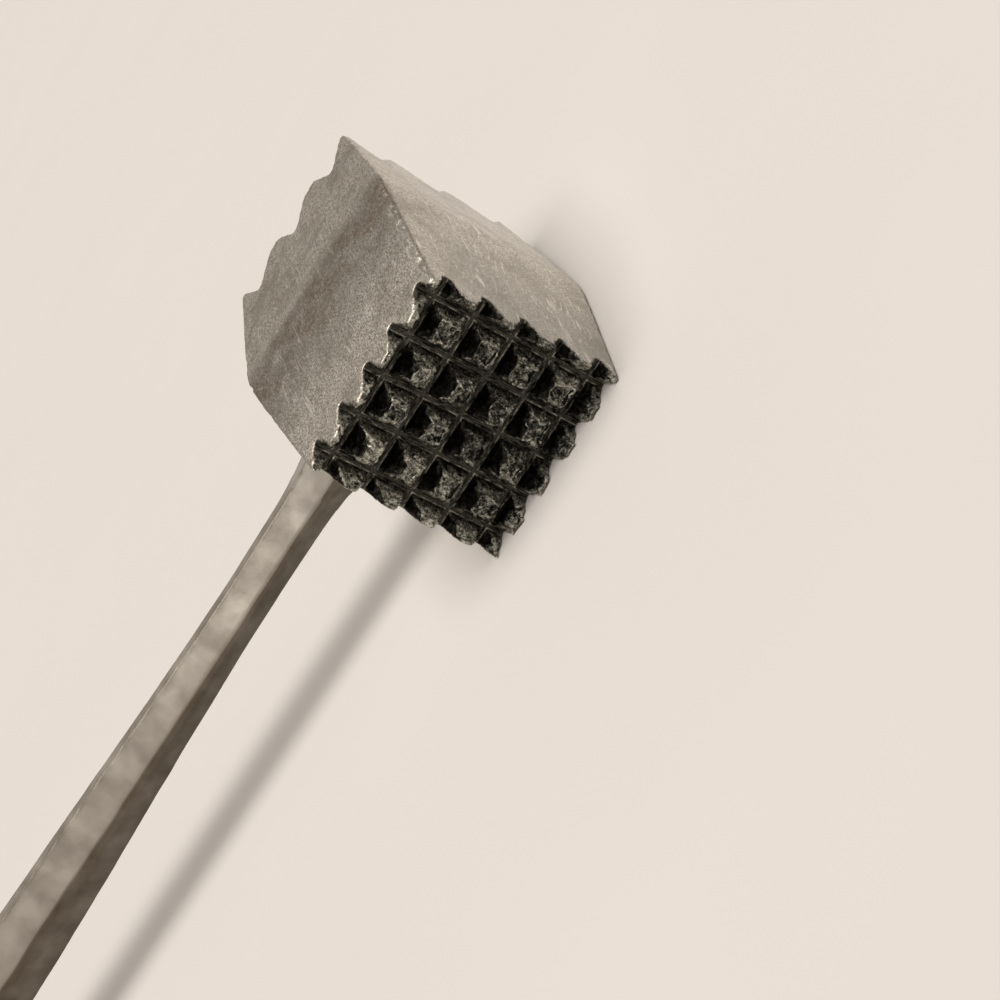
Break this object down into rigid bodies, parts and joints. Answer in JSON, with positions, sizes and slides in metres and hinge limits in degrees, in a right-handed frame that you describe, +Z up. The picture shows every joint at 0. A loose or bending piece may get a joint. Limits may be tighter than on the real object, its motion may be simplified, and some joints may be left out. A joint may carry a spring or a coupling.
{
  "type": "meat mallet",
  "caption": "Cast aluminium meat mallet: square head with a fine and a coarse toothed striking face, on a slim faceted handle with a hanging hole.",
  "frame": {"origin": "middle of the flat flank that the head rests on, between the parting line and the fine teeth", "axes": "+Z up from the table, -Y along the handle from the head to its tip, +X towards the fine striking face, which looks down by the draft angle of the flank"},
  "size_m": [0.0793, 0.2297, 0.0456],
  "materials": {
    "head_aluminium": "satin as cast, fine scratches, black grime between the fine teeth",
    "handle_aluminium": "satin as cast, worn by the hand",
    "stud_steel": "plain turned steel"
  },
  "bodies": {
    "root": {"head": "head_aluminium", "handle": "handle_aluminium", "handle_stud": "stud_steel"}
  },
  "joints": []
}
